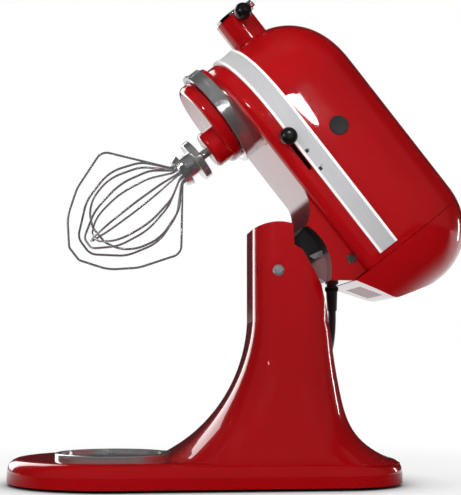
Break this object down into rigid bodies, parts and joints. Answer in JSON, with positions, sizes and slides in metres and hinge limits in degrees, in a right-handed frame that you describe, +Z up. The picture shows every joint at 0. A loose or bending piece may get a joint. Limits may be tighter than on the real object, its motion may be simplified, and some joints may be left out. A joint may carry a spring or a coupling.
{
  "type": "stand mixer",
  "caption": "Tilt-head stand mixer: cast base and column, hinged motor head with planetary drive, wire whisk, bowl clamp plate, attachment hub and coiled mains lead.",
  "frame": {"origin": "on the floor under the middle of the mixer's bounding box, mains lead left out, with the head tipped back", "axes": "+X to the rear of the mixer, +Y to its far side, which is the speed lever's side, +Z up"},
  "size_m": [0.4006, 0.3126, 0.4299],
  "materials": {
    "red_enamel": "deep gloss enamel",
    "silver_band": "brushed along its length, bright edges",
    "chrome": "polished",
    "steel": "ground",
    "wire_steel": "polished wire",
    "alloy": "cast, lightly burnished",
    "bronze": "sintered bronze",
    "copper": "enamelled copper",
    "black_gloss": "gloss black",
    "dark_plastic": "matt dark grey",
    "black_rubber": "matt black",
    "plate_black": "satin black",
    "board_green": "circuit board",
    "carbon": "pressed carbon"
  },
  "bodies": {
    "stand": {"pedestal": "red_enamel", "tilt_stop": "steel", "hinge_pin": "chrome", "base_plate": "plate_black", "rubber_feet": "black_rubber", "bowl_seat": "chrome", "seat_screws": "steel", "cord_drop": "black_rubber", "cord_coil": "black_rubber", "plug": "dark_plastic"},
    "head": {"gearcase": "red_enamel", "upper_housing": "red_enamel", "end_cover": "red_enamel", "end_cover_screw": "steel", "trim_band": "silver_band", "case_screws": "steel", "hinge_washers": "dark_plastic", "hinge_bushes": "bronze", "cord_gland": "black_rubber", "drip_ring": "chrome", "ring_gear": "steel", "centre_bush": "bronze", "wheel_bushes": "bronze", "wheel_bracket": "alloy", "hub_bush": "bronze", "stator_core": "steel", "field_windings": "copper", "motor_cradle": "dark_plastic", "front_bracket": "alloy", "rear_bracket": "alloy", "motor_bearings": "steel", "field_studs": "steel", "control_board": "board_green", "brush_holders": "dark_plastic", "carbon_brushes": "carbon", "brush_caps": "dark_plastic", "hub_cap_pin": "steel"},
    "planetary": {"planetary": "red_enamel", "planetary_shaft": "steel", "beater_bush": "bronze", "centre_gear": "steel", "drive_bevel": "steel"},
    "beater": {"beater_shaft": "steel", "beater_pin": "steel", "beater_pinion": "steel", "whisk_hub": "chrome", "whisk_wires": "wire_steel"},
    "wheel": {"worm_wheel": "bronze", "wheel_shaft": "steel", "spur_pinion": "steel"},
    "motor": {"motor_shaft": "steel", "armature_core": "steel", "commutator": "copper", "cooling_fan": "dark_plastic"},
    "hub": {"hub_bevel": "steel", "hub_spindle": "steel"},
    "lock": {"lock_lever": "black_gloss"},
    "speed": {"speed_lever": "black_gloss"},
    "knob": {"hub_knob": "black_gloss"},
    "cap": {"hub_cap": "chrome"}
  },
  "joints": [
    {"name": "head_tilt", "type": "hinge", "parent": "stand", "child": "head", "pos_m": [0.031, 0, 0.1835], "axis": [0, 1, 0], "range_deg": [-52, 0], "deforming": ["cord_drop"]},
    {"name": "planetary_spin", "type": "hinge", "parent": "head", "child": "planetary", "pos_m": [-0.01579, 0, 0.3246], "axis": [0.788, 0, 0.6157], "continuous": true},
    {"name": "beater_spin", "type": "hinge", "parent": "planetary", "child": "beater", "pos_m": [-0.01924, -0.01031, 0.29653], "axis": [0.788, 0, 0.6157], "continuous": true},
    {"name": "wheel_spin", "type": "hinge", "parent": "head", "child": "wheel", "pos_m": [0.02456, 0.028, 0.32168], "axis": [0.788, 0, 0.6157], "continuous": true},
    {"name": "motor_spin", "type": "hinge", "parent": "head", "child": "motor", "pos_m": [0.09621, 0, 0.28521], "axis": [0.6157, 0, -0.788], "continuous": true},
    {"name": "hub_spin", "type": "hinge", "parent": "head", "child": "hub", "pos_m": [0.01617, 0, 0.38765], "axis": [0.6157, 0, -0.788], "continuous": true},
    {"name": "lock_slide", "type": "slide", "parent": "head", "child": "lock", "axis": [0.6157, 0, -0.788], "range_m": [0, 0.025]},
    {"name": "speed_slide", "type": "slide", "parent": "head", "child": "speed", "axis": [0.6157, 0, -0.788], "range_m": [0, 0.025]},
    {"name": "knob_turn", "type": "hinge", "parent": "head", "child": "knob", "pos_m": [-0.00138, 0, 0.41011], "axis": [0.1504, -0.9816, 0.1175], "continuous": true},
    {"name": "hub_cap_hinge", "type": "hinge", "parent": "head", "child": "cap", "pos_m": [0.01238, 0, 0.42466], "axis": [0, 1, 0], "range_deg": [0, 110]}
  ],
  "couplings": [
    {"joint": "beater_spin", "follows": "planetary_spin", "ratio": -3.25},
    {"joint": "wheel_spin", "follows": "planetary_spin", "ratio": -2.25},
    {"joint": "motor_spin", "follows": "planetary_spin", "ratio": 63},
    {"joint": "hub_spin", "follows": "planetary_spin", "ratio": -1}
  ]
}
